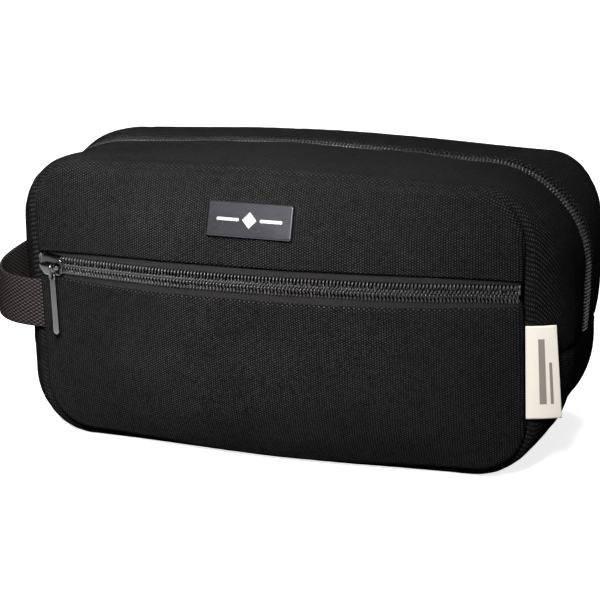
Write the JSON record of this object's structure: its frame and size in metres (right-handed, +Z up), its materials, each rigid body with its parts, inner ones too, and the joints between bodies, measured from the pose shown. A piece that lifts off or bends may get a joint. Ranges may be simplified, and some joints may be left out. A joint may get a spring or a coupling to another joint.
{
  "type": "zipped canvas shaving kit bag",
  "caption": "Soft boxy canvas wash bag with a zip over the top, a zipped front pocket, a webbing grab loop, a metal plate and a side label.",
  "frame": {"origin": "on the surface the bag stands on, under the middle of the bag", "axes": "+X to the right along the bag's length, -Y out of the front, +Z up"},
  "size_m": [0.305, 0.1316, 0.1477],
  "materials": {
    "canvas": "matt heavy woven canvas",
    "lining": "matt plain-woven lining",
    "zip_tape": "matt herringbone zip tape",
    "zip_coil": "satin coil",
    "webbing": "matt ribbed webbing",
    "label": "matt woven label",
    "gunmetal": "polished dark nickel",
    "plate": "satin dark gunmetal"
  },
  "bodies": {
    "bag": {"front_panel_lower": "canvas", "front_panel_upper": "canvas", "pocket_backing": "lining", "back_panel": "canvas", "zip_gusset_front": "canvas", "zip_gusset_back": "canvas", "bottom_gusset": "canvas", "seam_binding_front": "lining", "seam_binding_back": "lining", "main_zip_tape_front": "zip_tape", "main_zip_tape_back": "zip_tape", "main_zip_coil_front": "zip_coil", "main_zip_coil_back": "zip_coil", "pocket_zip_tape_upper": "zip_tape", "pocket_zip_tape_lower": "zip_tape", "pocket_zip_coil_upper": "zip_coil", "pocket_zip_coil_lower": "zip_coil", "grab_loop": "webbing", "metal_plate": "plate", "plate_washer": "gunmetal"},
    "pocket_slider": {"pocket_slider": "gunmetal"},
    "pocket_link": {"pocket_pull_link": "gunmetal"},
    "pocket_pull": {"pocket_pull_bar": "gunmetal"},
    "main_slider": {"main_slider": "gunmetal"},
    "main_link": {"main_pull_link": "gunmetal"},
    "main_pull": {"main_pull_bar": "gunmetal"},
    "label": {"side_label": "label"}
  },
  "joints": [
    {"name": "pocket_slider_travel", "type": "hinge", "parent": "bag", "child": "pocket_slider", "pos_m": [0.00058, 0.40191, 0.05394], "axis": [-0.0145, 0.0872, 0.9961], "range_deg": [0, 27.4]},
    {"name": "pocket_link_lift", "type": "hinge", "parent": "pocket_slider", "child": "pocket_link", "pos_m": [-0.11152, -0.05907, 0.09209], "axis": [-0.971, 0.2391, 0], "range_deg": [0, 150]},
    {"name": "pocket_pull_swing", "type": "hinge", "parent": "pocket_link", "child": "pocket_pull", "pos_m": [-0.11152, -0.05907, 0.08769], "axis": [-0.2391, -0.971, 0], "range_deg": [-30, 75]},
    {"name": "main_slider_travel", "type": "hinge", "parent": "bag", "child": "main_slider", "pos_m": [-0.092, 0, 0.0941], "axis": [0, 1, 0], "range_deg": [0, 82]},
    {"name": "main_link_lift", "type": "hinge", "parent": "main_slider", "child": "main_link", "pos_m": [-0.14485, 0, 0.0918], "axis": [0, 1, 0], "range_deg": [0, 8]},
    {"name": "main_pull_lift", "type": "hinge", "parent": "main_link", "child": "main_pull", "pos_m": [-0.14485, 0, 0.0855], "axis": [0, 1, 0], "range_deg": [0, 10]},
    {"name": "label_flap", "type": "hinge", "parent": "bag", "child": "label", "pos_m": [0.1244, -0.0496, 0.057], "axis": [0, 0, 1], "range_deg": [-25, 12], "stiffness_Nm_per_rad": 0.0002}
  ]
}
